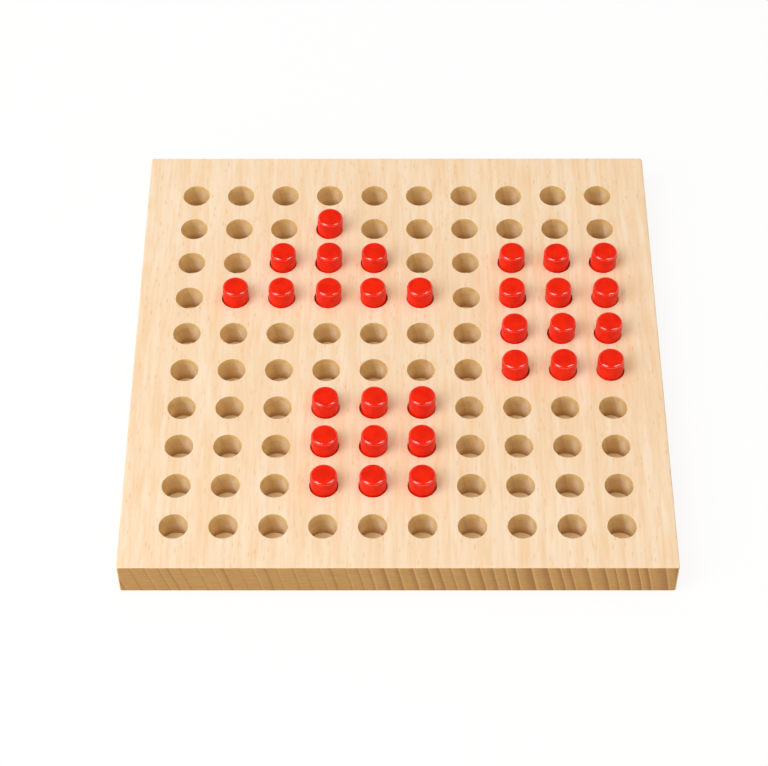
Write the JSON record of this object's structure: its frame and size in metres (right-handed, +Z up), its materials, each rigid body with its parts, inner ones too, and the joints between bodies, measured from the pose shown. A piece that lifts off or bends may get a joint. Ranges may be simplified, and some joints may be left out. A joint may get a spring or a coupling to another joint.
{
  "type": "math peg board",
  "caption": "Square beech board with a grid of blind round sockets drilled in its top and short red lacquered pegs that stand loose in them and lift straight out, for counting and shapes.",
  "frame": {"origin": "middle of the board's underside", "axes": "+Z up out of the sockets, +Y to the back edge along the wood's grain, +X to the right seen from the front"},
  "size_m": [0.201, 0.201, 0.0225],
  "materials": {
    "beech": "sanded, clear matt",
    "red_lacquer": "gloss lacquer"
  },
  "bodies": {
    "board": {"board": "beech"},
    "peg_r2_c4": {"peg_r2_c4": "red_lacquer"},
    "peg_r3_c3": {"peg_r3_c3": "red_lacquer"},
    "peg_r3_c4": {"peg_r3_c4": "red_lacquer"},
    "peg_r3_c5": {"peg_r3_c5": "red_lacquer"},
    "peg_r3_c8": {"peg_r3_c8": "red_lacquer"},
    "peg_r3_c9": {"peg_r3_c9": "red_lacquer"},
    "peg_r3_c10": {"peg_r3_c10": "red_lacquer"},
    "peg_r4_c2": {"peg_r4_c2": "red_lacquer"},
    "peg_r4_c3": {"peg_r4_c3": "red_lacquer"},
    "peg_r4_c4": {"peg_r4_c4": "red_lacquer"},
    "peg_r4_c5": {"peg_r4_c5": "red_lacquer"},
    "peg_r4_c6": {"peg_r4_c6": "red_lacquer"},
    "peg_r4_c8": {"peg_r4_c8": "red_lacquer"},
    "peg_r4_c9": {"peg_r4_c9": "red_lacquer"},
    "peg_r4_c10": {"peg_r4_c10": "red_lacquer"},
    "peg_r5_c8": {"peg_r5_c8": "red_lacquer"},
    "peg_r5_c9": {"peg_r5_c9": "red_lacquer"},
    "peg_r5_c10": {"peg_r5_c10": "red_lacquer"},
    "peg_r6_c8": {"peg_r6_c8": "red_lacquer"},
    "peg_r6_c9": {"peg_r6_c9": "red_lacquer"},
    "peg_r6_c10": {"peg_r6_c10": "red_lacquer"},
    "peg_r7_c4": {"peg_r7_c4": "red_lacquer"},
    "peg_r7_c5": {"peg_r7_c5": "red_lacquer"},
    "peg_r7_c6": {"peg_r7_c6": "red_lacquer"},
    "peg_r8_c4": {"peg_r8_c4": "red_lacquer"},
    "peg_r8_c5": {"peg_r8_c5": "red_lacquer"},
    "peg_r8_c6": {"peg_r8_c6": "red_lacquer"},
    "peg_r9_c4": {"peg_r9_c4": "red_lacquer"},
    "peg_r9_c5": {"peg_r9_c5": "red_lacquer"},
    "peg_r9_c6": {"peg_r9_c6": "red_lacquer"}
  },
  "joints": [
    {"name": "peg_r2_c4_lift", "type": "slide", "parent": "board", "child": "peg_r2_c4", "axis": [0, 0, 1], "range_m": [0, 0.015]},
    {"name": "peg_r3_c3_lift", "type": "slide", "parent": "board", "child": "peg_r3_c3", "axis": [0, 0, 1], "range_m": [0, 0.015]},
    {"name": "peg_r3_c4_lift", "type": "slide", "parent": "board", "child": "peg_r3_c4", "axis": [0, 0, 1], "range_m": [0, 0.015]},
    {"name": "peg_r3_c5_lift", "type": "slide", "parent": "board", "child": "peg_r3_c5", "axis": [0, 0, 1], "range_m": [0, 0.015]},
    {"name": "peg_r3_c8_lift", "type": "slide", "parent": "board", "child": "peg_r3_c8", "axis": [0, 0, 1], "range_m": [0, 0.015]},
    {"name": "peg_r3_c9_lift", "type": "slide", "parent": "board", "child": "peg_r3_c9", "axis": [0, 0, 1], "range_m": [0, 0.015]},
    {"name": "peg_r3_c10_lift", "type": "slide", "parent": "board", "child": "peg_r3_c10", "axis": [0, 0, 1], "range_m": [0, 0.015]},
    {"name": "peg_r4_c2_lift", "type": "slide", "parent": "board", "child": "peg_r4_c2", "axis": [0, 0, 1], "range_m": [0, 0.015]},
    {"name": "peg_r4_c3_lift", "type": "slide", "parent": "board", "child": "peg_r4_c3", "axis": [0, 0, 1], "range_m": [0, 0.015]},
    {"name": "peg_r4_c4_lift", "type": "slide", "parent": "board", "child": "peg_r4_c4", "axis": [0, 0, 1], "range_m": [0, 0.015]},
    {"name": "peg_r4_c5_lift", "type": "slide", "parent": "board", "child": "peg_r4_c5", "axis": [0, 0, 1], "range_m": [0, 0.015]},
    {"name": "peg_r4_c6_lift", "type": "slide", "parent": "board", "child": "peg_r4_c6", "axis": [0, 0, 1], "range_m": [0, 0.015]},
    {"name": "peg_r4_c8_lift", "type": "slide", "parent": "board", "child": "peg_r4_c8", "axis": [0, 0, 1], "range_m": [0, 0.015]},
    {"name": "peg_r4_c9_lift", "type": "slide", "parent": "board", "child": "peg_r4_c9", "axis": [0, 0, 1], "range_m": [0, 0.015]},
    {"name": "peg_r4_c10_lift", "type": "slide", "parent": "board", "child": "peg_r4_c10", "axis": [0, 0, 1], "range_m": [0, 0.015]},
    {"name": "peg_r5_c8_lift", "type": "slide", "parent": "board", "child": "peg_r5_c8", "axis": [0, 0, 1], "range_m": [0, 0.015]},
    {"name": "peg_r5_c9_lift", "type": "slide", "parent": "board", "child": "peg_r5_c9", "axis": [0, 0, 1], "range_m": [0, 0.015]},
    {"name": "peg_r5_c10_lift", "type": "slide", "parent": "board", "child": "peg_r5_c10", "axis": [0, 0, 1], "range_m": [0, 0.015]},
    {"name": "peg_r6_c8_lift", "type": "slide", "parent": "board", "child": "peg_r6_c8", "axis": [0, 0, 1], "range_m": [0, 0.015]},
    {"name": "peg_r6_c9_lift", "type": "slide", "parent": "board", "child": "peg_r6_c9", "axis": [0, 0, 1], "range_m": [0, 0.015]},
    {"name": "peg_r6_c10_lift", "type": "slide", "parent": "board", "child": "peg_r6_c10", "axis": [0, 0, 1], "range_m": [0, 0.015]},
    {"name": "peg_r7_c4_lift", "type": "slide", "parent": "board", "child": "peg_r7_c4", "axis": [0, 0, 1], "range_m": [0, 0.015]},
    {"name": "peg_r7_c5_lift", "type": "slide", "parent": "board", "child": "peg_r7_c5", "axis": [0, 0, 1], "range_m": [0, 0.015]},
    {"name": "peg_r7_c6_lift", "type": "slide", "parent": "board", "child": "peg_r7_c6", "axis": [0, 0, 1], "range_m": [0, 0.015]},
    {"name": "peg_r8_c4_lift", "type": "slide", "parent": "board", "child": "peg_r8_c4", "axis": [0, 0, 1], "range_m": [0, 0.015]},
    {"name": "peg_r8_c5_lift", "type": "slide", "parent": "board", "child": "peg_r8_c5", "axis": [0, 0, 1], "range_m": [0, 0.015]},
    {"name": "peg_r8_c6_lift", "type": "slide", "parent": "board", "child": "peg_r8_c6", "axis": [0, 0, 1], "range_m": [0, 0.015]},
    {"name": "peg_r9_c4_lift", "type": "slide", "parent": "board", "child": "peg_r9_c4", "axis": [0, 0, 1], "range_m": [0, 0.015]},
    {"name": "peg_r9_c5_lift", "type": "slide", "parent": "board", "child": "peg_r9_c5", "axis": [0, 0, 1], "range_m": [0, 0.015]},
    {"name": "peg_r9_c6_lift", "type": "slide", "parent": "board", "child": "peg_r9_c6", "axis": [0, 0, 1], "range_m": [0, 0.015]}
  ]
}
